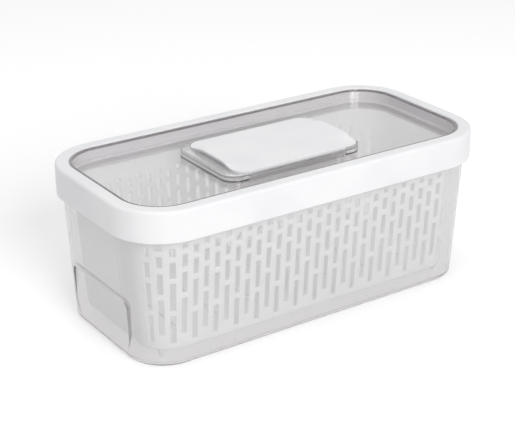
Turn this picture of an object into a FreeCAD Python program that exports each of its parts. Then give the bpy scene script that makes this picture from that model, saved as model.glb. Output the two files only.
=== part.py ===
"""Produce keeper: a clear container, a slotted basket standing in it, and a lid with a window, a sliding
vent and a filter. Millimetres, +X along the length, +Z up, origin at the middle of the base."""
import FreeCAD, Part
import math
import os
import Sketcher

SIZES = {
    # Lid ring, seen from above a rounded rectangle
    "lid_length": 340,
    "lid_width": 164,
    "lid_corner": 45,
    "rim_height": 134,
    "skirt_height": 25,
    "skirt_wall": 2.2,
    "ring_top_wall": 2.2,
    "ring_width": 11,
    "ring_edge_round": 2.5,
    "ring_inner_chamfer": 0.7,
    "spigot_wall": 2.2,
    "spigot_depth": 15,
    "ledge_width": 2.5,
    "ledge_wall": 2.2,
    "window_drop": 9.6,
    # Container, tapered from the base up
    "container_draft": 3.23,
    "container_wall": 2.2,
    "container_floor": 2.5,
    "base_round": 5.5,
    "floor_chamfer": 2.5,
    "bead_height": 3,
    "bead_step": 0.76,
    "bead_clearance": 0.6,
    "grip_width": 85,
    "grip_height": 50,
    "grip_corner": 5,
    "grip_setback": 0.5,
    # Basket, tapered from its floor up
    "basket_end_gap": 9,
    "basket_side_gap": 6,
    "basket_headroom": 3,
    "basket_corner": 25,
    "basket_draft": 3.9,
    "basket_wall": 2,
    "basket_floor": 2.2,
    "basket_rim_width": 1.8,
    "basket_rim_height": 2.5,
    "foot_height": 9,
    "foot_radius": 4.6,
    "foot_draft": 20,
    "foot_offset": 13.5,
    # Slots in the basket's long walls and corners
    "slot_pitch": 9.5,
    "slot_width": 4.5,
    "slot_bar": 4.4,
    "even_margin": 17.6,
    "even_first": 7.2,
    "even_second": 13.6,
    "even_third": 23.8,
    "even_band": 5,
    "odd_margin": 15,
    "odd_first": 4.4,
    "odd_second": 10.5,
    "odd_third": 17.8,
    "odd_band": 12.3,
    "drain_pitch": 38,
    "drain_length": 30,
    "drain_gap": 12,
    # Clear window
    "window_wall": 2.2,
    "window_clearance": 0.15,
    "window_lip_drop": 0.8,
    "air_slot_width": 6,
    "air_slot_margin": 10,
    # Vent housing, slider and shutter
    "vent_length": 132,
    "vent_width": 82,
    "vent_corner": 13,
    "vent_wall": 1.5,
    "vent_gap": 3.2,
    "vent_deck": 1.5,
    "vent_lip": 1.5,
    "vent_end": 18.5,
    "vent_edge_chamfer": 0.6,
    "vent_travel": 8,
    "slide_clearance": 0.3,
    "lift_clearance": 0.2,
    "cover_wall": 1.8,
    "lip_rise": 2.9,
    "lip_run": 15,
    "lip_flat": 20,
    "lip_slope": 22,
    "peg_length": 8,
    "peg_width": 4,
    "peg_end_margin": 16,
    "peg_side_margin": 5,
    "peg_clearance": 0.1,
    "shutter_end_gap": 8.5,
    "shutter_side_gap": 7.5,
    "shutter_corner": 6,
    "shutter_wall": 1.5,
    # Filter under the window
    "holder_length": 100,
    "holder_width": 58,
    "holder_corner": 6,
    "holder_depth": 13,
    "holder_wall": 1.6,
    "flange_width": 4,
    "flange_wall": 1.5,
    "rail_wall": 1.5,
    "rail_grip": 2.8,
    "holder_slot_width": 6,
    "holder_slot_margin": 7.4,
    "holder_slot_pitch": 12,
    "pad_clearance": 0.4,
    "pad_thickness": 8,
    # How far a cut or a trimming form runs past the piece that it shapes
    "overcut": 1,
}

# Heights and lengths that follow from the sizes
CONTAINER_TOP = "(sizes.rim_height - sizes.ring_top_wall)"
CONTAINER_SLOPE = "tan(sizes.container_draft * 1 deg)"
BEAD_INSET = "(sizes.skirt_wall + sizes.bead_clearance)"
BASE_INSET = f"({BEAD_INSET} + sizes.bead_step + {CONTAINER_TOP} * {CONTAINER_SLOPE})"
CAVITY_INSET = f"({BASE_INSET} - sizes.container_floor * {CONTAINER_SLOPE} + sizes.container_wall)"
GRIP_PLANE = f"(sizes.lid_length / 2 - {BASE_INSET} + sizes.grip_setback)"
SPIGOT_BOTTOM = "(sizes.rim_height - sizes.spigot_depth)"
BASKET_BOTTOM = "(sizes.container_floor + sizes.foot_height)"
BASKET_TOP = f"({SPIGOT_BOTTOM} - sizes.basket_headroom)"
BASKET_HEIGHT = f"({BASKET_TOP} - {BASKET_BOTTOM})"
BASKET_LENGTH = f"(sizes.lid_length - 2 * ({CAVITY_INSET} + sizes.basket_end_gap))"
BASKET_WIDTH = f"(sizes.lid_width - 2 * ({CAVITY_INSET} + sizes.basket_side_gap))"
BASKET_SPREAD = f"(2 * {BASKET_HEIGHT} * tan(sizes.basket_draft * 1 deg))"
BASKET_MIDDLE_RADIUS = f"(sizes.basket_corner + {BASKET_SPREAD} / 4)"
CORNER_X = f"({BASKET_LENGTH} / 2 - sizes.basket_corner)"
CORNER_Y = f"({BASKET_WIDTH} / 2 - sizes.basket_corner)"
SIDE_COLUMNS = f"floor({CORNER_X} / sizes.slot_pitch)"
DRAIN_COLUMNS = f"floor({CORNER_X} / sizes.drain_pitch)"
WINDOW_TOP = "(sizes.rim_height - sizes.window_drop)"
WINDOW_BOTTOM = f"({WINDOW_TOP} - sizes.window_wall)"
WINDOW_INSET = "(sizes.ring_width + sizes.window_clearance)"
DECK_TOP = f"({WINDOW_TOP} + sizes.vent_gap + sizes.vent_deck)"
COVER_BOTTOM = f"({DECK_TOP} + sizes.lift_clearance)"
COVER_TOP = f"({COVER_BOTTOM} + sizes.cover_wall)"
POCKET_LENGTH = "(sizes.vent_length - 2 * sizes.vent_wall)"
POCKET_WIDTH = "(sizes.vent_width - 2 * sizes.vent_wall)"
COVER_FORM_BOTTOM = f"({COVER_BOTTOM} - sizes.overcut)"
COVER_LENGTH = f"({POCKET_LENGTH} - sizes.vent_travel - 2 * sizes.slide_clearance)"
COVER_WIDTH = f"({POCKET_WIDTH} - 2 * sizes.slide_clearance)"
SIDE_OPENING = "(sizes.vent_length - 2 * sizes.vent_end)"
SHUTTER_BOTTOM = f"({WINDOW_TOP} + sizes.lift_clearance)"
SHUTTER_LENGTH = f"({POCKET_LENGTH} - sizes.vent_travel - 2 * sizes.shutter_end_gap)"
SHUTTER_WIDTH = f"({POCKET_WIDTH} - 2 * sizes.shutter_side_gap)"
PEG_SPACING_X = f"({SHUTTER_LENGTH} - 2 * sizes.peg_end_margin)"
PEG_SPACING_Y = f"({SHUTTER_WIDTH} - 2 * sizes.peg_side_margin)"
AIR_PITCH = "(2 * sizes.vent_travel)"
AIR_SLOTS = f"floor(({SHUTTER_LENGTH} - sizes.air_slot_width) / {AIR_PITCH})"
AIR_SLOT_LENGTH = f"({SHUTTER_WIDTH} - 2 * sizes.air_slot_margin)"
FLANGE_TOP = f"({WINDOW_BOTTOM} - sizes.lift_clearance)"
HOLDER_BOTTOM = f"({FLANGE_TOP} - sizes.holder_depth)"
FLANGE_HALF = "(sizes.holder_width / 2 + sizes.flange_width)"
HOLDER_INNER_LENGTH = "(sizes.holder_length - 2 * sizes.holder_wall)"
HOLDER_INNER_WIDTH = "(sizes.holder_width - 2 * sizes.holder_wall)"
HOLDER_INNER_CORNER = "(sizes.holder_corner - sizes.holder_wall)"
HOLDER_SLOTS = f"floor(({HOLDER_INNER_LENGTH} - sizes.holder_slot_width) / sizes.holder_slot_pitch)"
HOLDER_SLOT_LENGTH = f"({HOLDER_INNER_WIDTH} - 2 * sizes.holder_slot_margin)"

doc = FreeCAD.newDocument("produce_keeper")
sheet = doc.addObject("Spreadsheet::Sheet", "sizes")


def fill_sheet():
    for row, (alias, value) in enumerate(SIZES.items(), start=1):
        sheet.set(f"A{row}", alias)
        sheet.set(f"B{row}", str(value))
        sheet.setAlias(f"B{row}", alias)
    doc.recompute()


def value(expression):
    return float(sheet.evalExpression(expression))


def new_body(name):
    body = doc.addObject("PartDesign::Body", name)
    body.Label = name
    return body


def origin_item(body, role):
    return next(item for item in body.Origin.OriginFeatures if item.Role == role)


def new_sketch(body, name, plane, offset="0", across="0", along="0"):
    """Sketch on an origin plane of the body, moved by offset along the plane's normal."""
    sketch = body.newObject("Sketcher::SketchObject", name)
    sketch.AttachmentSupport = (origin_item(body, plane), [""])
    sketch.MapMode = "FlatFace"
    sketch.setExpression("AttachmentOffset.Base.x", across)
    sketch.setExpression("AttachmentOffset.Base.y", along)
    sketch.setExpression("AttachmentOffset.Base.z", offset)
    return sketch


def bind(sketch, constraint, expression):
    index = sketch.addConstraint(constraint)
    sketch.renameConstraint(index, f"size_{index}")
    sketch.setExpression(f"Constraints.size_{index}", expression)


def rounded_rectangle(sketch, length, width, radius):
    """Rounded rectangle about the sketch's origin, its three sizes tied to expressions."""
    half_x, half_y, r = value(length) / 2, value(width) / 2, value(radius)
    flat_x, flat_y = half_x - r, half_y - r
    centres = [(flat_x, -flat_y), (flat_x, flat_y), (-flat_x, flat_y), (-flat_x, -flat_y)]
    first = sketch.GeometryCount
    for side, (x, y) in enumerate(centres):
        turn = math.pi / 2 * side
        last_x, last_y = centres[side - 1]
        start = (last_x + r * math.sin(turn), last_y - r * math.cos(turn))
        end = (x + r * math.sin(turn), y - r * math.cos(turn))
        sketch.addGeometry(Part.LineSegment(FreeCAD.Vector(*start, 0), FreeCAD.Vector(*end, 0)), False)
        circle = Part.Circle(FreeCAD.Vector(x, y, 0), FreeCAD.Vector(0, 0, 1), r)
        sketch.addGeometry(Part.ArcOfCircle(circle, turn - math.pi / 2, turn), False)
    for side in range(4):
        line = first + 2 * side
        arc = line + 1
        next_line = first + 2 * ((side + 1) % 4)
        sketch.addConstraint(Sketcher.Constraint("Tangent", line, 2, arc, 1))
        sketch.addConstraint(Sketcher.Constraint("Tangent", arc, 2, next_line, 1))
        sketch.addConstraint(Sketcher.Constraint("Horizontal" if side % 2 == 0 else "Vertical", line))
        if side:
            sketch.addConstraint(Sketcher.Constraint("Equal", first + 1, arc))
    sketch.addConstraint(Sketcher.Constraint("Symmetric", first, 1, first + 4, 1, -1, 1))
    bind(sketch, Sketcher.Constraint("Radius", first + 1, r), radius)
    bind(sketch, Sketcher.Constraint("DistanceX", first + 6, 1, first + 2, 1, 2 * half_x), length)
    bind(sketch, Sketcher.Constraint("DistanceY", first, 1, first + 4, 1, 2 * half_y), width)


def inset_outline(sketch, inset):
    """The lid's outline, moved inwards on every side."""
    length = f"sizes.lid_length - 2 * {inset}"
    width = f"sizes.lid_width - 2 * {inset}"
    rounded_rectangle(sketch, length, width, f"sizes.lid_corner - {inset}")


def rectangle(sketch, low_x, low_y, length, width):
    """Rectangle whose lower left corner and two sides are tied to expressions."""
    x, y, dx, dy = value(low_x), value(low_y), value(length), value(width)
    corners = [(x, y), (x + dx, y), (x + dx, y + dy), (x, y + dy)]
    first = sketch.GeometryCount
    for index, corner in enumerate(corners):
        after = corners[(index + 1) % 4]
        sketch.addGeometry(Part.LineSegment(FreeCAD.Vector(*corner, 0), FreeCAD.Vector(*after, 0)), False)
    for index in range(4):
        line = first + index
        after = first + (index + 1) % 4
        sketch.addConstraint(Sketcher.Constraint("Coincident", line, 2, after, 1))
        sketch.addConstraint(Sketcher.Constraint("Horizontal" if index % 2 == 0 else "Vertical", line))
    bind(sketch, Sketcher.Constraint("DistanceX", first, 1, first, 2, dx), length)
    bind(sketch, Sketcher.Constraint("DistanceY", first + 1, 1, first + 1, 2, dy), width)
    bind(sketch, Sketcher.Constraint("DistanceX", -1, 1, first, 1, x), low_x)
    bind(sketch, Sketcher.Constraint("DistanceY", -1, 1, first, 1, y), low_y)


def arc_between(start, end, radius):
    """Arc of a signed radius from start to end: positive turns left, negative turns right."""
    chord = end - start
    across = FreeCAD.Vector(-chord.y, chord.x, 0).normalize()
    reach = math.copysign(math.sqrt(radius ** 2 - chord.Length ** 2 / 4), radius)
    centre = (start + end) / 2 + across * reach
    angles = [math.atan2(point.y - centre.y, point.x - centre.x) for point in (start, end)]
    if radius < 0:
        angles.reverse()
    return Part.ArcOfCircle(Part.Circle(centre, FreeCAD.Vector(0, 0, 1), abs(radius)), *angles)


def path(sketch, points):
    """Closed outline through points of two expressions, a third being the radius of an arc to the next."""
    places = [FreeCAD.Vector(value(point[0]), value(point[1]), 0) for point in points]
    first = sketch.GeometryCount
    ends = []
    for index, point in enumerate(points):
        start, end = places[index], places[(index + 1) % len(points)]
        radius = value(point[2]) if len(point) == 3 else 0
        shape = arc_between(start, end, radius) if radius else Part.LineSegment(start, end)
        sketch.addGeometry(shape, False)
        ends.append((2, 1) if radius < 0 else (1, 2))
    for index, point in enumerate(points):
        after = (index + 1) % len(points)
        line, begin = first + index, ends[index][0]
        joint = Sketcher.Constraint("Coincident", line, ends[index][1], first + after, ends[after][0])
        sketch.addConstraint(joint)
        bind(sketch, Sketcher.Constraint("DistanceX", -1, 1, line, begin, places[index].x), point[0])
        bind(sketch, Sketcher.Constraint("DistanceY", -1, 1, line, begin, places[index].y), point[1])
        if len(point) == 3:
            radius = value(point[2])
            sign = "" if radius > 0 else "-"
            bind(sketch, Sketcher.Constraint("Radius", line, abs(radius)), f"{sign}({point[2]})")


def extrude(body, kind, sketch, name, length, reverse=False, both=False, draft=None):
    """Pad or Pocket of a sketch. It stops if the solid did not grow or shrink as its kind should."""
    doc.recompute()
    before = body.Shape.Volume if body.Tip else 0
    feature = body.newObject(f"PartDesign::{kind}", name)
    feature.Profile = sketch
    feature.SideType = "Symmetric" if both else "One side"
    feature.Reversed = reverse
    feature.setExpression("Length", length)
    if draft:
        feature.setExpression("TaperAngle", draft)
    doc.recompute()
    change = feature.Shape.Volume - before
    if change == 0 or (change > 0) != (kind == "Pad"):
        raise RuntimeError(f"{name} changed the volume by {change}")
    return feature


def pad(body, sketch, name, length, **options):
    return extrude(body, "Pad", sketch, name, length, **options)


def pocket(body, sketch, name, length, **options):
    return extrude(body, "Pocket", sketch, name, length, **options)


def level_edges(feature, height, longest=True):
    """Names of the edges that lie level at a height: the outer loop, or the inner one."""
    names = []
    for number, edge in enumerate(feature.Shape.Edges, start=1):
        box = edge.BoundBox
        if abs(box.ZMin - height) < 0.001 and abs(box.ZMax - height) < 0.001:
            names.append((number, edge))
    wires = Part.sortEdges([edge for _, edge in names])
    loops = sorted((Part.Wire(wire) for wire in wires), key=lambda wire: wire.BoundBox.DiagonalLength)
    loop = loops[-1] if longest else loops[0]
    chosen = [n for n, e in names if any(e.isSame(other) or same_place(e, other) for other in loop.Edges)]
    return [f"Edge{number}" for number in chosen]


def same_place(edge, other):
    return (edge.CenterOfMass - other.CenterOfMass).Length < 0.001


def dress_edges(body, kind, feature, name, edges, length):
    """Fillet or Chamfer of the named edges, its radius or leg tied to an expression."""
    dressed = body.newObject(f"PartDesign::{kind}", name)
    dressed.Base = (feature, edges)
    dressed.setExpression("Radius" if kind == "Fillet" else "Size", length)
    body.Tip = dressed
    doc.recompute()
    return dressed


def fillet(body, feature, name, edges, radius):
    return dress_edges(body, "Fillet", feature, name, edges, radius)


def chamfer(body, feature, name, edges, leg):
    return dress_edges(body, "Chamfer", feature, name, edges, leg)


def repeat(body, feature, name, axis, pitch, count):
    """Copies of a feature in a row along an origin axis of the body."""
    pattern = body.newObject("PartDesign::LinearPattern", name)
    pattern.Originals = [feature]
    pattern.Direction = (origin_item(body, axis), [""])
    pattern.Mode = "Spacing"
    pattern.setExpression("Offset", pitch)
    pattern.setExpression("Occurrences", count)
    body.Tip = pattern
    doc.recompute()
    return pattern


def combine(kind, name, *pieces):
    """Cut of the first piece by the second, or MultiFuse or MultiCommon of all."""
    result = doc.addObject(f"Part::{kind}", name)
    if kind == "Cut":
        result.Base, result.Tool = pieces
    else:
        result.Shapes = list(pieces)
    result.Label = name
    doc.recompute()
    return result


def make_container():
    outer = new_body("container_outside")
    base = new_sketch(outer, "base_outline", "XY_Plane")
    inset_outline(base, BASE_INSET)
    block = pad(outer, base, "tapered_block", CONTAINER_TOP, draft="sizes.container_draft")
    fillet(outer, block, "base_edge", level_edges(block, 0), "sizes.base_round")
    bead = new_sketch(outer, "bead_outline", "XY_Plane", f"{CONTAINER_TOP} - sizes.bead_height")
    inset_outline(bead, BEAD_INSET)
    pad(outer, bead, "rim_bead", "sizes.bead_height")
    grip = new_sketch(outer, "grip_outline", "YZ_Plane", f"-{GRIP_PLANE}")
    rounded_rectangle(grip, "sizes.grip_width", "2 * sizes.grip_height", "sizes.grip_corner")
    pocket(outer, grip, "grip_recess", BASE_INSET)

    inner = new_body("container_inside")
    floor = new_sketch(inner, "floor_outline", "XY_Plane", "sizes.container_floor")
    inset_outline(floor, CAVITY_INSET)
    depth = f"{CONTAINER_TOP} - sizes.container_floor"
    cavity = pad(inner, floor, "tapered_cavity", depth, draft="sizes.container_draft")
    edges = level_edges(cavity, value("sizes.container_floor"))
    chamfer(inner, cavity, "floor_edge", edges, "sizes.floor_chamfer")
    bump = new_sketch(inner, "grip_bump_outline", "YZ_Plane", f"sizes.container_wall - {GRIP_PLANE}")
    bump_height = "2 * (sizes.grip_height + sizes.container_wall)"
    bump_width = "sizes.grip_width + 2 * sizes.container_wall"
    rounded_rectangle(bump, bump_width, bump_height, "sizes.grip_corner + sizes.container_wall")
    pocket(inner, bump, "grip_bump", BASE_INSET)
    return combine("Cut", "container", outer, inner)


def basket_slot_rows(sketch, kind, across):
    """One column of slots, measured down from the basket's rim, the last one to its lower band."""
    top = f"({BASKET_TOP} - sizes.{kind}_margin)"
    for place in ("first", "second", "third"):
        length = f"sizes.{kind}_{place}"
        rectangle(sketch, f"{across} - sizes.slot_width / 2", f"{top} - {length}", "sizes.slot_width", length)
        top = f"({top} - {length} - sizes.slot_bar)"
    low = f"({BASKET_BOTTOM} + sizes.{kind}_band)"
    rectangle(sketch, f"{across} - sizes.slot_width / 2", low, "sizes.slot_width", f"{top} - {low}")


def corner_column(body, kind, number):
    """One column of slots cut outwards through the front left corner, square to its arc."""
    sketch = new_sketch(body, f"corner_column_{number}", "XZ_Plane", CORNER_Y, f"-{CORNER_X}")
    placement = sketch.AttachmentOffset
    placement.Rotation = FreeCAD.Rotation(FreeCAD.Vector(0, -1, 0), 10)
    sketch.AttachmentOffset = placement
    arc_length = f"(({SIDE_COLUMNS} + {number}) * sizes.slot_pitch - {CORNER_X})"
    sketch.setExpression("AttachmentOffset.Rotation.Angle",
                         f"{arc_length} / {BASKET_MIDDLE_RADIUS} * 1 rad")
    basket_slot_rows(sketch, kind, "0")
    reach = f"sizes.basket_corner + {BASKET_SPREAD}"
    return pocket(body, sketch, f"corner_slots_{number}", reach, reverse=True)


def four_corners(body, features):
    """Mirror the features of one corner to the other three."""
    corners = body.newObject("PartDesign::MultiTransform", "four_corners")
    corners.Originals = features
    mirrors = []
    for plane in ("YZ_Plane", "XZ_Plane"):
        mirror = body.newObject("PartDesign::Mirrored", f"mirror_{plane}")
        mirror.MirrorPlane = (origin_item(body, plane), [""])
        mirrors.append(mirror)
    corners.Transformations = mirrors
    body.Tip = corners
    doc.recompute()


def make_feet(body):
    circles = new_sketch(body, "feet_circles", "XY_Plane", BASKET_BOTTOM)
    radius = value("sizes.foot_radius")
    place_x, place_y = f"({CORNER_X} + sizes.foot_offset)", f"({CORNER_Y} + sizes.foot_offset)"
    for side_x, side_y in ((-1, -1), (1, -1), (1, 1), (-1, 1)):
        x, y = side_x * value(place_x), side_y * value(place_y)
        circle = Part.Circle(FreeCAD.Vector(x, y, 0), FreeCAD.Vector(0, 0, 1), radius)
        foot = circles.addGeometry(circle, False)
        bind(circles, Sketcher.Constraint("Radius", foot, radius), "sizes.foot_radius")
        bind(circles, Sketcher.Constraint("DistanceX", -1, 1, foot, 3, x), f"{side_x} * {place_x}")
        bind(circles, Sketcher.Constraint("DistanceY", -1, 1, foot, 3, y), f"{side_y} * {place_y}")
    pad(body, circles, "feet", "sizes.foot_height", reverse=True, draft="-sizes.foot_draft")


def make_basket():
    body = new_body("basket")
    base = new_sketch(body, "basket_base", "XY_Plane", BASKET_BOTTOM)
    rounded_rectangle(base, BASKET_LENGTH, BASKET_WIDTH, "sizes.basket_corner")
    pad(body, base, "basket_block", BASKET_HEIGHT, draft="sizes.basket_draft")
    flange = f"({BASKET_SPREAD} + 2 * sizes.basket_rim_width)"
    rim = new_sketch(body, "basket_rim", "XY_Plane", f"{BASKET_TOP} - sizes.basket_rim_height")
    rounded_rectangle(rim, f"{BASKET_LENGTH} + {flange}", f"{BASKET_WIDTH} + {flange}",
                      f"sizes.basket_corner + {flange} / 2")
    pad(body, rim, "basket_flange", "sizes.basket_rim_height")
    inside = f"({BASKET_SPREAD} - 2 * sizes.basket_wall)"
    mouth = new_sketch(body, "basket_mouth", "XY_Plane", BASKET_TOP)
    rounded_rectangle(mouth, f"{BASKET_LENGTH} + {inside}", f"{BASKET_WIDTH} + {inside}",
                      f"sizes.basket_corner + {inside} / 2")
    pocket(body, mouth, "basket_hollow", f"{BASKET_HEIGHT} - sizes.basket_floor",
           draft="-sizes.basket_draft")
    make_feet(body)

    first_even, even_count = f"-{SIDE_COLUMNS} * sizes.slot_pitch", f"{SIDE_COLUMNS} + 1"
    first_odd, odd_count = f"(1 - {SIDE_COLUMNS}) * sizes.slot_pitch", SIDE_COLUMNS
    through = f"{BASKET_SPREAD} + {BASKET_WIDTH}"
    for kind, place, count in (("even", first_even, even_count), ("odd", first_odd, odd_count)):
        column = new_sketch(body, f"{kind}_column", "XZ_Plane")
        basket_slot_rows(column, kind, place)
        cut = pocket(body, column, f"{kind}_slots", through, both=True)
        repeat(body, cut, f"{kind}_slot_row", "X_Axis", "2 * sizes.slot_pitch", count)
    kinds = ("odd", "even", "odd", "even")
    four_corners(body, [corner_column(body, kind, number) for number, kind in enumerate(kinds, start=1)])

    drains = new_sketch(body, "drain_pair", "XY_Plane", BASKET_BOTTOM)
    left = f"-{DRAIN_COLUMNS} * sizes.drain_pitch - sizes.slot_width / 2"
    for low in ("sizes.drain_gap / 2", "-sizes.drain_gap / 2 - sizes.drain_length"):
        rectangle(drains, left, low, "sizes.slot_width", "sizes.drain_length")
    drained = pocket(body, drains, "drain_slots", "sizes.basket_floor + sizes.overcut", reverse=True)
    repeat(body, drained, "drain_rows", "X_Axis", "sizes.drain_pitch", f"2 * {DRAIN_COLUMNS} + 1")
    return body


def make_lid_frame():
    body = new_body("lid_frame")
    skirt_bottom = "(sizes.rim_height - sizes.skirt_height)"
    top = value("sizes.rim_height")
    outline = new_sketch(body, "ring_outline", "XY_Plane", skirt_bottom)
    inset_outline(outline, "0")
    block = pad(body, outline, "ring_block", "sizes.skirt_height")
    fillet(body, block, "ring_top_edge", level_edges(block, top), "sizes.ring_edge_round")
    spigot_inset = "(sizes.ring_width - sizes.spigot_wall)"
    groove = new_sketch(body, "groove_outlines", "XY_Plane", skirt_bottom)
    inset_outline(groove, "sizes.skirt_wall")
    inset_outline(groove, spigot_inset)
    pocket(body, groove, "rim_groove", f"{CONTAINER_TOP} - {skirt_bottom}", reverse=True)
    hollow = new_sketch(body, "hollow_outline", "XY_Plane", skirt_bottom)
    inset_outline(hollow, spigot_inset)
    pocket(body, hollow, "spigot_hollow", f"{SPIGOT_BOTTOM} - {skirt_bottom}", reverse=True)
    seat = new_sketch(body, "seat_outline", "XY_Plane", "sizes.rim_height")
    inset_outline(seat, "sizes.ring_width")
    seated = pocket(body, seat, "window_seat", f"sizes.rim_height - {WINDOW_BOTTOM}")
    inner_edge = level_edges(seated, top, longest=False)
    chamfer(body, seated, "ring_inner_edge", inner_edge, "sizes.ring_inner_chamfer")
    opening = new_sketch(body, "opening_outline", "XY_Plane", WINDOW_BOTTOM)
    inset_outline(opening, "(sizes.ring_width + sizes.ledge_width)")
    pocket(body, opening, "window_opening", f"{WINDOW_BOTTOM} - {skirt_bottom}")
    under = new_sketch(body, "under_ledge_outline", "XY_Plane", SPIGOT_BOTTOM)
    inset_outline(under, "sizes.ring_width")
    ledge_bottom = f"({WINDOW_BOTTOM} - sizes.ledge_wall)"
    pocket(body, under, "under_ledge", f"{ledge_bottom} - {SPIGOT_BOTTOM}", reverse=True)
    return body


def air_slot(sketch, shift="0"):
    """First slot of the row through the window or the shutter, moved along the row by shift."""
    left = f"(1 - {AIR_SLOTS}) * {AIR_PITCH} / 2 + {shift} - sizes.air_slot_width / 2"
    rectangle(sketch, left, f"-{AIR_SLOT_LENGTH} / 2", "sizes.air_slot_width", AIR_SLOT_LENGTH)


def make_lid_window():
    body = new_body("lid_window")
    outline = new_sketch(body, "window_outline", "XY_Plane", WINDOW_BOTTOM)
    inset_outline(outline, WINDOW_INSET)
    pad(body, outline, "window_block", f"sizes.rim_height - sizes.window_lip_drop - {WINDOW_BOTTOM}")
    well = new_sketch(body, "well_outline", "XY_Plane", "sizes.rim_height")
    inset_outline(well, f"({WINDOW_INSET} + sizes.window_wall)")
    pocket(body, well, "window_well", "sizes.window_drop")

    slot = new_sketch(body, "air_slot", "XY_Plane", WINDOW_TOP)
    air_slot(slot)
    cut = pocket(body, slot, "air_slot_cut", "sizes.window_wall + sizes.overcut")
    repeat(body, cut, "air_slot_row", "X_Axis", AIR_PITCH, AIR_SLOTS)

    rails = new_sketch(body, "rail_profiles", "YZ_Plane")
    inner = f"({FLANGE_HALF} + sizes.slide_clearance)"
    outer = f"({inner} + sizes.rail_wall)"
    grip = f"({inner} - sizes.rail_grip)"
    lip_top = f"({FLANGE_TOP} - sizes.flange_wall)"
    lip_bottom = f"({lip_top} - sizes.rail_wall)"
    for side in ("1 *", "-1 *"):
        path(rails, [(f"{side} {inner}", WINDOW_BOTTOM), (f"{side} {outer}", WINDOW_BOTTOM),
                        (f"{side} {outer}", lip_bottom), (f"{side} {grip}", lip_bottom),
                        (f"{side} {grip}", lip_top), (f"{side} {inner}", lip_top)])
    pad(body, rails, "rails", "sizes.holder_length", both=True)
    return body


def make_vent_housing():
    body = new_body("vent_housing")
    outline = new_sketch(body, "housing_outline", "XY_Plane", WINDOW_TOP)
    rounded_rectangle(outline, "sizes.vent_length", "sizes.vent_width", "sizes.vent_corner")
    height = f"({DECK_TOP} + sizes.vent_lip - {WINDOW_TOP})"
    block = pad(body, outline, "housing_block", height)
    edge = level_edges(block, value(f"{DECK_TOP} + sizes.vent_lip"))
    chamfer(body, block, "housing_top_edge", edge, "sizes.vent_edge_chamfer")
    inner_corner = "sizes.vent_corner - sizes.vent_wall"
    under = new_sketch(body, "under_deck_outline", "XY_Plane", WINDOW_TOP)
    rounded_rectangle(under, POCKET_LENGTH, POCKET_WIDTH, inner_corner)
    pocket(body, under, "under_deck", "sizes.vent_gap", reverse=True)
    over = new_sketch(body, "over_deck_outline", "XY_Plane", f"{DECK_TOP} + sizes.vent_lip")
    rounded_rectangle(over, POCKET_LENGTH, POCKET_WIDTH, inner_corner)
    pocket(body, over, "over_deck", "sizes.vent_lip")
    sides = new_sketch(body, "side_openings", "XZ_Plane")
    left = f"-{SIDE_OPENING} / 2"
    rectangle(sides, left, WINDOW_TOP, SIDE_OPENING, "sizes.vent_gap")
    rectangle(sides, left, DECK_TOP, SIDE_OPENING, "sizes.vent_lip")
    pocket(body, sides, "side_air_gaps", "sizes.vent_width + sizes.overcut", both=True)
    slots = new_sketch(body, "peg_slots", "XY_Plane", DECK_TOP)
    length = "sizes.peg_length + sizes.vent_travel + 2 * sizes.slide_clearance"
    width = "sizes.peg_width + 2 * sizes.slide_clearance"
    peg_grid(slots, length, width)
    pocket(body, slots, "peg_slot_cuts", "sizes.vent_deck + sizes.overcut")
    return body


def peg_grid(sketch, length, width):
    """Four rectangles about the pegs' places."""
    for side_x in (-1, 1):
        for side_y in (-1, 1):
            rectangle(sketch, f"{side_x} * {PEG_SPACING_X} / 2 - ({length}) / 2",
                      f"{side_y} * {PEG_SPACING_Y} / 2 - ({width}) / 2", length, width)


def raised_ends(sketch, top):
    """Side profile with a flat top that curves up to each end in one arc."""
    half = f"({COVER_LENGTH} / 2)"
    flat = f"({half} - sizes.lip_run)"
    far, low, high = f"({half} + sizes.overcut)", COVER_FORM_BOTTOM, f"({top} + sizes.lip_rise)"
    bend = "(sizes.lip_run ^ 2 + sizes.lip_rise ^ 2) / (2 * sizes.lip_rise)"
    path(sketch, [(f"-{far}", low), (far, low), (far, high), (half, high, f"-{bend}"),
                  (flat, top), (f"-{flat}", top, f"-{bend}"), (f"-{half}", high), (f"-{far}", high)])


def raised_middle(sketch, top):
    """End profile with a raised flat in the middle that falls to both sides in an S of two arcs."""
    far, low, high = f"({COVER_WIDTH} / 2 + sizes.overcut)", COVER_FORM_BOTTOM, f"({top} + sizes.lip_rise)"
    crest = "(sizes.lip_flat / 2)"
    foot = f"({crest} + sizes.lip_slope)"
    halfway, between = f"({crest} + sizes.lip_slope / 2)", f"({top} + sizes.lip_rise / 2)"
    bend = "(sizes.lip_slope ^ 2 + sizes.lip_rise ^ 2) / (4 * sizes.lip_rise)"
    path(sketch, [(f"-{far}", low), (far, low), (far, top), (foot, top, f"-{bend}"),
                  (halfway, between, bend), (crest, high), (f"-{crest}", high, bend),
                  (f"-{halfway}", between, f"-{bend}"), (f"-{foot}", top), (f"-{far}", top)])


def cover_form(name, top):
    """Block with the flat middle and the raised finger lips of the cover, up to a height."""
    ends = new_body(f"{name}_ends")
    profile = new_sketch(ends, f"{name}_ends_profile", "XZ_Plane")
    raised_ends(profile, top)
    pad(ends, profile, f"{name}_ends_block", f"{COVER_WIDTH} + 2 * sizes.overcut", both=True)
    middle = new_body(f"{name}_middle")
    profile = new_sketch(middle, f"{name}_middle_profile", "YZ_Plane")
    raised_middle(profile, top)
    pad(middle, profile, f"{name}_middle_block", f"{COVER_LENGTH} + 2 * sizes.overcut", both=True)
    return combine("MultiCommon", f"{name}_form", ends, middle)


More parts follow.
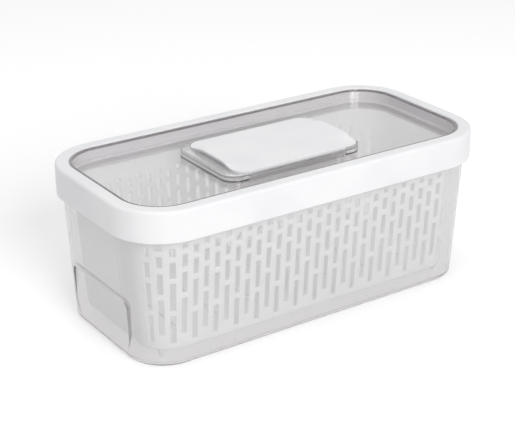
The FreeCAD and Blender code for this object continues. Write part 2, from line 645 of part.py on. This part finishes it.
def make_vent_cover():
    plate = combine("Cut", "cover_plate", cover_form("upper", COVER_TOP), cover_form("lower", COVER_BOTTOM))
    trim = new_body("cover_trim")
    outline = new_sketch(trim, "cover_outline", "XY_Plane", COVER_FORM_BOTTOM)
    corner = "sizes.vent_corner - sizes.vent_wall - sizes.slide_clearance"
    rounded_rectangle(outline, COVER_LENGTH, COVER_WIDTH, corner)
    pad(trim, outline, "cover_trim_block", "sizes.cover_wall + sizes.lip_rise + 2 * sizes.overcut")
    trimmed = combine("MultiCommon", "cover_top", plate, trim)
    pegs = new_body("cover_pegs")
    pegs.AllowCompound = True
    places = new_sketch(pegs, "peg_outlines", "XY_Plane", SHUTTER_BOTTOM)
    peg_grid(places, "sizes.peg_length", "sizes.peg_width")
    pad(pegs, places, "peg_blocks", f"{COVER_BOTTOM} + sizes.cover_wall / 2 - {SHUTTER_BOTTOM}")
    cover = combine("MultiFuse", "vent_cover", trimmed, pegs)
    cover.setExpression("Placement.Base.x", "sizes.vent_travel / 2")
    return cover


def make_vent_shutter():
    body = new_body("vent_shutter")
    outline = new_sketch(body, "shutter_outline", "XY_Plane", SHUTTER_BOTTOM)
    rounded_rectangle(outline, SHUTTER_LENGTH, SHUTTER_WIDTH, "sizes.shutter_corner")
    pad(body, outline, "shutter_plate", "sizes.shutter_wall")
    through = "sizes.shutter_wall + sizes.overcut"
    slot = new_sketch(body, "shutter_slot", "XY_Plane", SHUTTER_BOTTOM)
    air_slot(slot, "sizes.vent_travel / 2")
    cut = pocket(body, slot, "shutter_slot_cut", through, reverse=True)
    repeat(body, cut, "shutter_slot_row", "X_Axis", AIR_PITCH, AIR_SLOTS)
    holes = new_sketch(body, "peg_holes", "XY_Plane", SHUTTER_BOTTOM)
    peg_grid(holes, "sizes.peg_length + 2 * sizes.peg_clearance", "sizes.peg_width + 2 * sizes.peg_clearance")
    pocket(body, holes, "peg_hole_cuts", through, reverse=True)
    body.setExpression("Placement.Base.x", "sizes.vent_travel / 2")
    return body


def make_filter_holder():
    body = new_body("filter_holder")
    outline = new_sketch(body, "cup_outline", "XY_Plane", HOLDER_BOTTOM)
    rounded_rectangle(outline, "sizes.holder_length", "sizes.holder_width", "sizes.holder_corner")
    pad(body, outline, "cup_block", "sizes.holder_depth")
    flange = new_sketch(body, "flange_outline", "XY_Plane", f"{FLANGE_TOP} - sizes.flange_wall")
    rounded_rectangle(flange, "sizes.holder_length", f"2 * {FLANGE_HALF}", "sizes.flange_width / 2")
    pad(body, flange, "flange", "sizes.flange_wall")
    mouth = new_sketch(body, "cup_mouth", "XY_Plane", FLANGE_TOP)
    rounded_rectangle(mouth, HOLDER_INNER_LENGTH, HOLDER_INNER_WIDTH, HOLDER_INNER_CORNER)
    pocket(body, mouth, "cup_hollow", "sizes.holder_depth - sizes.holder_wall")
    slot = new_sketch(body, "floor_slot", "XY_Plane", HOLDER_BOTTOM)
    first = f"(1 - {HOLDER_SLOTS}) * sizes.holder_slot_pitch / 2 - sizes.holder_slot_width / 2"
    rectangle(slot, first, f"-{HOLDER_SLOT_LENGTH} / 2", "sizes.holder_slot_width", HOLDER_SLOT_LENGTH)
    cut = pocket(body, slot, "floor_slot_cut", "sizes.holder_wall + sizes.overcut", reverse=True)
    repeat(body, cut, "floor_slot_row", "X_Axis", "sizes.holder_slot_pitch", HOLDER_SLOTS)
    return body


def make_filter_pad():
    body = new_body("filter_pad")
    bottom = f"({HOLDER_BOTTOM} + sizes.holder_wall)"
    outline = new_sketch(body, "pad_outline", "XY_Plane", bottom)
    rounded_rectangle(outline, f"{HOLDER_INNER_LENGTH} - 2 * sizes.pad_clearance",
                      f"{HOLDER_INNER_WIDTH} - 2 * sizes.pad_clearance", HOLDER_INNER_CORNER)
    pad(body, outline, "pad_block", "sizes.pad_thickness")
    return body


def export(parts):
    for item in doc.Objects:
        if "Invalid" in item.State or "Error" in item.State:
            raise RuntimeError(f"{item.Label} failed: {item.State}")
    for part in parts:
        if part.Shape.isNull() or not part.Shape.isValid():
            raise RuntimeError(f"{part.Label} has no valid shape")
    os.makedirs("parts", exist_ok=True)
    for part in parts:
        part.Shape.exportStep(f"parts/{part.Label}.step")


fill_sheet()
export([
    make_container(), make_basket(), make_lid_frame(), make_lid_window(), make_vent_housing(),
    make_vent_cover(), make_vent_shutter(), make_filter_holder(), make_filter_pad(),
])
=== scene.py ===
"""Looks of the produce keeper: clear and white mouldings, a filter sachet, a white floor, soft
light and a camera.

Metres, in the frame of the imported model: +X along the length, +Z up, origin at the middle of the
base.
"""
import math

import bpy
from bpy.props import FloatProperty, FloatVectorProperty, PointerProperty, StringProperty
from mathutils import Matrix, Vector


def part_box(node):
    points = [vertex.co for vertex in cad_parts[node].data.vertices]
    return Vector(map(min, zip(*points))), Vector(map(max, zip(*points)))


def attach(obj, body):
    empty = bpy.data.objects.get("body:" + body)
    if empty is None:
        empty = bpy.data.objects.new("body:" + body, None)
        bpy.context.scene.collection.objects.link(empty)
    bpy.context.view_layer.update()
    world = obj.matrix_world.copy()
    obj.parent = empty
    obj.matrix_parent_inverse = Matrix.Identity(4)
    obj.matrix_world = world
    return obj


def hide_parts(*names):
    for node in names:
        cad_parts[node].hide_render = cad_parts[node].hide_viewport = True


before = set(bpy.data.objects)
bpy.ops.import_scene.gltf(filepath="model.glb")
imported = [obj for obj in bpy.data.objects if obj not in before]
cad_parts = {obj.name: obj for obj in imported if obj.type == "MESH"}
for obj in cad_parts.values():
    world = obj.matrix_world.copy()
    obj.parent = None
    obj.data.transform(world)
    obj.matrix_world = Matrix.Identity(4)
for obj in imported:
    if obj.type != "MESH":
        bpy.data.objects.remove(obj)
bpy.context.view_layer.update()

bl_info = {
    "name": "Produce keeper looks",
    "version": (1, 0, 0),
    "blender": (4, 5, 0),
    "location": "3D View > Sidebar > Keeper",
    "description": "Finishes for a produce keeper with a slotted basket and a vented lid",
    "category": "Object",
}

MM = 0.001
WHITE = (1, 1, 1, 1)

# Depth of clear plastic that has the full tint, in the large walls and in the lid's fittings
WALL_DEPTH = 10 * MM
FITTING_DEPTH = 30 * MM
# What gets past one surface of clear plastic, which mirrors a few hundredths of the light
PAST_ONE_SURFACE = (0.97, 0.97, 0.97, 1)
# A stripe of painted shade reaches this far past the end of its wall
PAINTED_SHADE_OVERLAP = 1 * MM
# Nearly all of a noise lies between these
NOISE_LOW, NOISE_HIGH = 0.3, 0.7

# Light turns many times in a clear wall, and a few times between white ones
CLEAR_BOUNCES = 24
WHITE_BOUNCES = 8
# Both lamps face this point, near the keeper's middle
LAMP_AIM = (0, 0, 0.06)
# The film width that the lens is counted for, in millimetres
FILM_WIDTH = 36

# The cloth simulation that fills the sachet
FILL_FRAMES = 12
FILL_PRESSURE = 4


class KeeperColours(bpy.types.PropertyGroup):
    """Colours of the mouldings, the painted shade on the edges of clear walls, the sachet and the
    floor, as sRGB hex values
    """

    white: StringProperty(
        name="White moulding", description="Main white of ring, slider, shutter and basket",
        default="F5F5F6")
    white_cool: StringProperty(
        name="White variation", description="Faint cooler tone in the white mouldings",
        default="EFEFF2")
    clear: StringProperty(
        name="Clear plastic", default="DFDBDB",
        description="What 1 cm of container and window, and 3 cm of housing and cup, lets through")
    # Colour of the painted shade on the top edge of the window's wall, standing in for the dark
    # that light running out of the wall gives
    window_painted_shade: StringProperty(
        name="Window edge", description="Top edge of the window's wall, where light runs out",
        default="A6A2A3")
    # Colour of the painted shade on the bottom edge of the vent housing, standing in for the dark
    # that light running out of the wall gives
    housing_painted_shade: StringProperty(
        name="Housing edge", description="Bottom edge of the vent housing, where light runs out",
        default="7C7879")
    fleece: StringProperty(
        name="Filter fleece", description="Light fibres of the filter sachet", default="E4E3DF")
    carbon: StringProperty(
        name="Carbon", description="Dark granules that show through the fleece",
        default="8E8E8C")
    paper: StringProperty(
        name="Floor paper", description="White paper of the floor", default="F6F6F6")


class KeeperSizes(bpy.types.PropertyGroup):
    """Sizes of the details that the finishes add"""

    # Height of the painted shade on the top edge of the window's wall
    window_shade_height: FloatProperty(
        name="Window edge", description="Height of the dark top edge of the window's wall",
        default=1.8 * MM, subtype="DISTANCE", unit="LENGTH")
    # Height of the painted shade on the bottom edge of the vent housing
    housing_shade_height: FloatProperty(
        name="Housing edge", description="Height of the dark bottom edge of the vent housing",
        default=1 * MM, subtype="DISTANCE", unit="LENGTH")
    voxel: FloatProperty(
        name="Sachet mesh", description="Spacing of the sachet's mesh while it is filled",
        default=2.5 * MM, subtype="DISTANCE", unit="LENGTH")
    swell: FloatProperty(
        name="Sachet swell", description="Furthest that a point of the sachet moves as it fills",
        default=1.6 * MM, subtype="DISTANCE", unit="LENGTH")


class KeeperStage(bpy.types.PropertyGroup):
    """Floor, camera and light"""

    floor_size: FloatProperty(
        name="Floor", description="Side of the square floor", default=30,
        subtype="DISTANCE", unit="LENGTH")
    azimuth: FloatProperty(
        name="Azimuth", description="Turn of the camera to the left of the long side",
        default=math.radians(34.34), subtype="ANGLE", unit="ROTATION")
    elevation: FloatProperty(
        name="Elevation", description="Angle of the camera above the floor",
        default=math.radians(23.533), subtype="ANGLE", unit="ROTATION")
    distance: FloatProperty(
        name="Distance", description="From the camera to the plane through its aim",
        default=1.14419, subtype="DISTANCE", unit="LENGTH")
    aim: FloatVectorProperty(
        name="Aim", description="Point that the camera is set off from", default=(0, 0, 0.075),
        subtype="XYZ", unit="LENGTH")
    framing: FloatVectorProperty(
        name="Framing", description="Slide of the camera to its right and upwards",
        default=(-0.00984, -0.00369), size=2, unit="LENGTH")
    lens: FloatProperty(
        name="Lens", description="Focal length in millimetres", default=96.375, unit="CAMERA")
    world_level: FloatProperty(
        name="World light", description="Strength of the even light from all sides",
        default=0.45, min=0)
    backdrop_level: FloatProperty(
        name="Backdrop", description="Level of the backdrop behind clear walls, where white is 1",
        default=0.82, min=0)
    floor_lift: FloatProperty(
        name="Floor white", description="Level that the floor gains in the camera and reflections",
        default=0.24, min=0)
    key_place: FloatVectorProperty(
        name="Key lamp", description="Place of the lamp in front and to the left",
        default=(-0.3, -1.72, 1.0), subtype="XYZ", unit="LENGTH")
    key_size: FloatProperty(
        name="Key lamp's side", description="Side of the square lamp in front", default=0.9,
        subtype="DISTANCE", unit="LENGTH")
    key_level: FloatProperty(
        name="Key light", description="Power of the lamp in front, in watts", default=19, min=0,
        unit="POWER")
    top_place: FloatVectorProperty(
        name="Top lamp", description="Place of the lamp overhead", default=(-0.1, 0.35, 1.7),
        subtype="XYZ", unit="LENGTH")
    top_size: FloatProperty(
        name="Top lamp's side", description="Side of the square lamp overhead", default=1.6,
        subtype="DISTANCE", unit="LENGTH")
    top_level: FloatProperty(
        name="Top light", description="Power of the lamp overhead, in watts", default=7.5, min=0,
        unit="POWER")


def linear(hex_colour):
    """sRGB hex value as a linear colour with full alpha."""
    parts = [int(hex_colour[i:i + 2], 16) / 255 for i in (0, 2, 4)]
    return [p / 12.92 if p <= 0.04045 else ((p + 0.055) / 1.055) ** 2.4 for p in parts] + [1.0]


def deselect_all():
    """Leave edit mode and select nothing."""
    if bpy.context.object and bpy.context.object.mode != "OBJECT":
        bpy.ops.object.mode_set(mode="OBJECT")
    bpy.ops.object.select_all(action="DESELECT")


def new_material(name):
    """Material with only its output node."""
    material = bpy.data.materials.new(name)
    material.use_nodes = True
    material.node_tree.nodes.clear()
    output = material.node_tree.nodes.new("ShaderNodeOutputMaterial")
    return material, material.node_tree, output


def add_node(tree, kind, settings=(), **inputs):
    """Add a node, with its settings and with values or sockets for its inputs. An input is named
    with _ for a space, as in Base_Color, or numbered, as in _0."""
    node = tree.nodes.new(kind)
    for name, value in dict(settings).items():
        setattr(node, name, value)
    for name, value in inputs.items():
        numbered = name[0] == "_" and name[1:].isdigit()
        key = int(name[1:]) if numbered else name.replace("_", " ")
        if isinstance(value, bpy.types.NodeSocket):
            tree.links.new(value, node.inputs[key])
        else:
            node.inputs[key].default_value = value
    return node


def surface(tree, output, shader):
    """Put a shader on the surface of its material."""
    tree.links.new(shader.outputs[0], output.inputs["Surface"])


def compute(tree, operation, first, second):
    """Result of a maths operation on two numbers or sockets."""
    node = add_node(tree, "ShaderNodeMath", {"operation": operation}, _0=first, _1=second)
    return node.outputs[0]


def noise(tree, pitch, detail, stretch=(1, 1, 1), roughness=0.5):
    """Noise whose features are about pitch apart, in metres, on the piece's own coordinates."""
    place = add_node(tree, "ShaderNodeTexCoord").outputs["Object"]
    mapped = add_node(tree, "ShaderNodeMapping", Vector=place, Scale=[s / pitch for s in stretch])
    return add_node(tree, "ShaderNodeTexNoise", Vector=mapped.outputs[0], Scale=1.0,
                    Detail=detail, Roughness=roughness)


def spread(tree, factor, low, high):
    """A number between low and high that follows a noise."""
    node = add_node(tree, "ShaderNodeMapRange", Value=factor, From_Min=NOISE_LOW,
                    From_Max=NOISE_HIGH, To_Min=low, To_Max=high)
    return node.outputs[0]


def blend_colours(tree, factor, first, second):
    """First colour where the factor is 0, second where it is 1."""
    mixed = add_node(tree, "ShaderNodeMix", {"data_type": "RGBA"}, _0=factor, _6=first, _7=second)
    return mixed.outputs[2]


def white_polypropylene(name, colours, roughness, sunk, depth=1.5 * MM):
    """White PP, injection moulded in a finely textured tool: an even satin with a soft sheen. sunk
    is the share of the light that sinks into the wall, and depth is how far it does, so that
    shadows on it stay pale."""
    material, tree, output = new_material(name)
    tone = noise(tree, pitch=45 * MM, detail=1.0)
    # The spark texture is about 0.3 mm apart on the real surface, drawn at 0.6 mm so that it shows
    grain = noise(tree, pitch=0.6 * MM, detail=3.0, roughness=0.6)
    colour = blend_colours(tree, spread(tree, tone.outputs[0], 0.0, 1.0), linear(colours.white),
                           linear(colours.white_cool))
    bump = add_node(tree, "ShaderNodeBump", Height=grain.outputs[0], Distance=0.02 * MM,
                    Strength=0.5)
    shader = add_node(
        tree, "ShaderNodeBsdfPrincipled", Base_Color=colour, IOR=1.49, Normal=bump.outputs[0],
        Roughness=spread(tree, tone.outputs[0], roughness - 0.03, roughness + 0.05),
        Subsurface_Weight=sunk, Subsurface_Scale=depth, Subsurface_Radius=(1.0, 0.95, 0.9))
    surface(tree, output, shader)
    return material


def painted_shade_stripe(tree, hex_colour, low, high):
    """Painted shade: a dark tint between the heights low and high, and white elsewhere."""
    place = add_node(tree, "ShaderNodeTexCoord").outputs["Object"]
    height = add_node(tree, "ShaderNodeSeparateXYZ", _0=place).outputs["Z"]
    above = compute(tree, "GREATER_THAN", height, low)
    below = compute(tree, "LESS_THAN", height, high)
    return blend_colours(tree, compute(tree, "MULTIPLY", above, below), WHITE, linear(hex_colour))


def clear_styrene(name, hex_colour, haze, depth=WALL_DEPTH, band=None):
    """Clear SAN, injection moulded in a polished tool: glassy with a little haze and faint flow
    waves, and greyer where the eye looks along a wall than across it. haze is the share of light
    Light that falls on what stands inside goes straight through it, as through a thin clear wall.
    The argument band holds the colour and the heights of a stripe of painted shade at the edge of
    a wall, which stands in for the dark that the real wall shows where light runs out of it."""
    material, tree, output = new_material(name)
    waves = noise(tree, pitch=28 * MM, detail=1.5, stretch=(1, 1, 0.6))
    scuffs = noise(tree, pitch=3 * MM, detail=4.0, roughness=0.65)
    bump = add_node(tree, "ShaderNodeBump", Height=waves.outputs[0], Distance=0.12 * MM,
                    Strength=0.35)
    # Painted shade: the stripe darkens the clear plastic's colour at the edge of its wall
    tint = painted_shade_stripe(tree, *band) if band else WHITE
    glass = add_node(
        tree, "ShaderNodeBsdfPrincipled", Base_Color=tint, IOR=1.57, Transmission_Weight=1 - haze,
        Roughness=spread(tree, scuffs.outputs[0], 0.015, 0.06), Normal=bump.outputs[0])
    through = add_node(tree, "ShaderNodeBsdfTransparent", Color=PAST_ONE_SURFACE)
    ray = add_node(tree, "ShaderNodeLightPath")
    mixed = glass
    for kind in ("Is Diffuse Ray", "Is Shadow Ray"):
        mixed = add_node(tree, "ShaderNodeMixShader", _0=ray.outputs[kind], _1=mixed.outputs[0],
                         _2=through.outputs[0])
    surface(tree, output, mixed)
    body = add_node(tree, "ShaderNodeVolumeAbsorption", Color=linear(hex_colour),
                    Density=1 / depth)
    tree.links.new(body.outputs[0], output.inputs["Volume"])
    return material


def filter_fleece(colours):
    """Heat-sealed polyester fleece over carbon granules: matt and fibrous, with the dark granules
    showing through the thin cloth."""
    material, tree, output = new_material("sealed_fleece")
    # Single fibres are too fine to show, so the tufts that they form are drawn
    fibres = noise(tree, pitch=1.2 * MM, detail=5.0, stretch=(1, 3, 1), roughness=0.7)
    granules = noise(tree, pitch=2.4 * MM, detail=1.0)
    colour = blend_colours(tree, spread(tree, granules.outputs[0], 0.15, 0.75),
                           linear(colours.fleece), linear(colours.carbon))
    bump = add_node(tree, "ShaderNodeBump", Height=fibres.outputs[0], Distance=0.15 * MM,
                    Strength=0.8)
    shader = add_node(
        tree, "ShaderNodeBsdfPrincipled", Base_Color=colour, Normal=bump.outputs[0],
        Sheen_Weight=0.3, Roughness=spread(tree, fibres.outputs[0], 0.8, 0.98))
    surface(tree, output, shader)
    return material


def ray_kinds(tree):
    """Factors that are 1 for the camera's own rays and for reflections, and for what shows behind
    a clear wall. Both are 0 for the light that falls on the object, also when that light comes
    through a clear wall."""
    ray = add_node(tree, "ShaderNodeLightPath").outputs
    # The depth counts whole bounces, so below a half there has been none
    unscattered = compute(tree, "LESS_THAN", ray["Diffuse Depth"], 0.5)
    behind = compute(tree, "MULTIPLY", ray["Is Transmission Ray"], unscattered)
    # A ray that goes through a clear wall counts as a glossy one too
    plain = compute(tree, "MAXIMUM", ray["Is Camera Ray"], ray["Is Glossy Ray"])
    plain = compute(tree, "MULTIPLY", plain, unscattered)
    return compute(tree, "SUBTRACT", plain, behind), behind


def white_paper_floor(colours, stage):
    """White sweep: matt paper that shows as white to the camera and in reflections, and still
    darkens where the keeper shades it. Behind a clear wall it has the grey of the backdrop."""
    material, tree, output = new_material("white_sweep")
    plain, behind = ray_kinds(tree)
    paper = add_node(tree, "ShaderNodeBsdfDiffuse", Color=linear(colours.paper), Roughness=0.5)
    lift = compute(tree, "MULTIPLY", plain, stage.floor_lift)
    glow = add_node(tree, "ShaderNodeEmission", Color=WHITE, Strength=lift)
    white = add_node(tree, "ShaderNodeAddShader", _0=paper.outputs[0], _1=glow.outputs[0])
    grey = add_node(tree, "ShaderNodeEmission", Color=WHITE, Strength=stage.backdrop_level)
    surface(tree, output, add_node(tree, "ShaderNodeMixShader", _0=behind, _1=white.outputs[0],
                                   _2=grey.outputs[0]))
    return material


def paint(node, material):
    """Give a CAD node its finish."""
    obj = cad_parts[node]
    obj.data.materials.clear()
    obj.data.materials.append(material)


class KEEPER_OT_stage(bpy.types.Operator):
    """White floor, even world light, two soft lamps and the camera"""

    bl_idname = "keeper.stage"
    bl_label = "Stage"

    def execute(self, context):
        stage = context.scene.keeper_stage
        deselect_all()
        bpy.ops.mesh.primitive_plane_add(size=stage.floor_size)
        floor = context.object
        floor.name = "floor"
        floor.data.materials.append(white_paper_floor(context.scene.keeper_colours, stage))
        self.light_world(context, stage)
        self.add_lamp(context, "key_lamp", stage.key_place, stage.key_size, stage.key_level)
        self.add_lamp(context, "top_lamp", stage.top_place, stage.top_size, stage.top_level)
        self.place_camera(context, stage)
        context.scene.view_settings.view_transform = "Standard"
        cycles = context.scene.cycles
        cycles.max_bounces = cycles.transparent_max_bounces = CLEAR_BOUNCES
        cycles.transmission_bounces = cycles.glossy_bounces = CLEAR_BOUNCES
        cycles.diffuse_bounces = WHITE_BOUNCES
        return {"FINISHED"}

    def light_world(self, context, stage):
        """White in the camera and in reflections, grey behind clear walls, and an even light on
        the keeper."""
        world = bpy.data.worlds.new("white_world")
        world.use_nodes = True
        tree = world.node_tree
        tree.nodes.clear()
        plain, behind = ray_kinds(tree)
        white = compute(tree, "MULTIPLY", plain, 1 - stage.world_level)
        grey = compute(tree, "MULTIPLY", behind, stage.backdrop_level - stage.world_level)
        level = compute(tree, "ADD", stage.world_level, compute(tree, "ADD", white, grey))
        light = add_node(tree, "ShaderNodeBackground", Color=WHITE, Strength=level)
        output = tree.nodes.new("ShaderNodeOutputWorld")
        surface(tree, output, light)
        context.scene.world = world

    def add_lamp(self, context, name, place, size, power):
        """Square lamp that faces the keeper."""
        bpy.ops.object.light_add(type="AREA", location=place)
        lamp = context.object
        lamp.name = name
        lamp.data.size = size
        lamp.data.energy = power
        aim = Vector(LAMP_AIM) - Vector(place)
        lamp.rotation_euler = aim.to_track_quat("-Z", "Y").to_euler()

    def place_camera(self, context, stage):
        """Camera at its azimuth and elevation, slid sideways and upwards for the framing."""
        turn, rise = stage.azimuth, stage.elevation
        back = Vector((-math.sin(turn) * math.cos(rise), -math.cos(turn) * math.cos(rise),
                       math.sin(rise)))
        right = Vector((0, 0, 1)).cross(back).normalized()
        up = back.cross(right)
        slide = right * stage.framing[0] + up * stage.framing[1]
        bpy.ops.object.camera_add(location=Vector(stage.aim) + back * stage.distance + slide)
        camera = context.object
        camera.name = "camera"
        camera.rotation_euler = back.to_track_quat("Z", "Y").to_euler()
        camera.data.lens = stage.lens
        camera.data.sensor_width = FILM_WIDTH
        context.scene.camera = camera


class KEEPER_OT_shell(bpy.types.Operator):
    """Clear container and the white basket in it"""

    bl_idname = "keeper.shell"
    bl_label = "Container and basket"

    def execute(self, context):
        colours = context.scene.keeper_colours
        paint("container", clear_styrene("clear_container_san", colours.clear, haze=0.15))
        # Light reaches the basket's thin wall from both sides, so it glows more than the lid's
        paint("basket", white_polypropylene("white_basket_pp", colours, roughness=0.42, sunk=0.9,
                                            depth=6 * MM))
        return {"FINISHED"}


class KEEPER_OT_lid(bpy.types.Operator):
    """White ring and clear window of the lid"""

    bl_idname = "keeper.lid"
    bl_label = "Lid"

    def execute(self, context):
        colours = context.scene.keeper_colours
        paint("lid_frame",
              white_polypropylene("white_ring_pp", colours, roughness=0.36, sunk=0.12))
        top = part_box("lid_window")[1].z
        low = top - context.scene.keeper_sizes.window_shade_height
        # A stripe of painted shade along the top edge of the window's wall
        band = (colours.window_painted_shade, low, top + PAINTED_SHADE_OVERLAP)
        paint("lid_window",
              clear_styrene("clear_window_san", colours.clear, haze=0.08, band=band))
        return {"FINISHED"}


class KEEPER_OT_vent(bpy.types.Operator):
    """Clear housing, white slider and the shutter under it"""

    bl_idname = "keeper.vent"
    bl_label = "Vent"

    def execute(self, context):
        colours = context.scene.keeper_colours
        white = white_polypropylene("white_slider_pp", colours, roughness=0.34, sunk=0.12)
        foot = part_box("vent_housing")[0].z
        high = foot + context.scene.keeper_sizes.housing_shade_height
        # A stripe of painted shade along the bottom edge of the vent housing
        band = (colours.housing_painted_shade, foot - PAINTED_SHADE_OVERLAP, high)
        paint("vent_housing", clear_styrene("clear_housing_san", colours.clear, haze=0.2,
                                            depth=FITTING_DEPTH, band=band))
        paint("vent_cover", white)
        paint("vent_shutter", white)
        return {"FINISHED"}


class KEEPER_OT_filter(bpy.types.Operator):
    """Clear filter cup and the sachet lying in it"""

    bl_idname = "keeper.filter"
    bl_label = "Filter"

    def execute(self, context):
        colours = context.scene.keeper_colours
        paint("filter_holder",
              clear_styrene("clear_cup_san", colours.clear, haze=0.2, depth=FITTING_DEPTH))
        sachet = self.make_sachet(context)
        sachet.data.materials.append(filter_fleece(colours))
        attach(sachet, "lid")
        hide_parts("filter_pad")
        return {"FINISHED"}

    def make_sachet(self, context):
        """Flat block in the room of the CAD's pad, blown up until it fills that room."""
        sizes = context.scene.keeper_sizes
        low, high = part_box("filter_pad")
        room = high - low
        # Each side swells, and the large faces a little more than the edges
        edge_room, face_room = 2 * sizes.swell, 2.4 * sizes.swell
        deselect_all()
        bpy.ops.mesh.primitive_cube_add(size=1, location=(low + high) / 2)
        sachet = context.object
        sachet.name = "filter_sachet"
        sachet.scale = (room.x - edge_room, room.y - edge_room, room.z - face_room)
        bpy.ops.object.transform_apply(location=True, rotation=False, scale=True)
        remesh = sachet.modifiers.new("spacing", "REMESH")
        remesh.mode = "VOXEL"
        remesh.voxel_size = sizes.voxel
        bpy.ops.object.modifier_apply(modifier=remesh.name)
        self.fill(context, sachet, sizes)
        bpy.ops.object.shade_smooth()
        return sachet

    def fill(self, context, sachet, sizes):
        """Blow the sachet up as its granules would, and hold each point within the swell of its
        start."""
        starts = [v.co.copy() for v in sachet.data.vertices]
        cloth = sachet.modifiers.new("filling", "CLOTH")
        cloth.settings.use_pressure = True
        cloth.settings.uniform_pressure_force = FILL_PRESSURE
        cloth.settings.effector_weights.gravity = 0
        for step in range(1, FILL_FRAMES + 1):
            context.scene.frame_set(step)
        bpy.ops.object.modifier_apply(modifier=cloth.name)
        context.scene.frame_set(1)
        for vertex, start in zip(sachet.data.vertices, starts):
            move = vertex.co - start
            if move.length > sizes.swell:
                vertex.co = start + move * (sizes.swell / move.length)
        smooth = sachet.modifiers.new("cloth_curve", "SUBSURF")
        smooth.levels = smooth.render_levels = 1
        bpy.ops.object.modifier_apply(modifier=smooth.name)


class KEEPER_PT_panel(bpy.types.Panel):
    """Sidebar panel of the keeper's colours, sizes and pieces"""

    bl_label = "Produce keeper"
    bl_space_type = "VIEW_3D"
    bl_region_type = "UI"
    bl_category = "Keeper"

    def draw(self, context):
        for group_name in GROUPS:
            group = getattr(context.scene, group_name)
            for name in group.__annotations__:
                self.layout.prop(group, name)
        for operator in OPERATORS:
            self.layout.operator(operator.bl_idname)


GROUPS = {
    "keeper_colours": KeeperColours,
    "keeper_sizes": KeeperSizes,
    "keeper_stage": KeeperStage,
}
OPERATORS = (
    KEEPER_OT_stage,
    KEEPER_OT_shell,
    KEEPER_OT_lid,
    KEEPER_OT_vent,
    KEEPER_OT_filter,
)


def register():
    for name, group in GROUPS.items():
        bpy.utils.register_class(group)
        setattr(bpy.types.Scene, name, PointerProperty(type=group))
    for cls in OPERATORS + (KEEPER_PT_panel,):
        bpy.utils.register_class(cls)


def unregister():
    for cls in reversed(OPERATORS + (KEEPER_PT_panel,)):
        bpy.utils.unregister_class(cls)
    for name, group in GROUPS.items():
        delattr(bpy.types.Scene, name)
        bpy.utils.unregister_class(group)


def main():
    register()
    bpy.ops.keeper.stage()
    bpy.ops.keeper.shell()
    bpy.ops.keeper.lid()
    bpy.ops.keeper.vent()
    bpy.ops.keeper.filter()


if __name__ == "__main__":
    main()
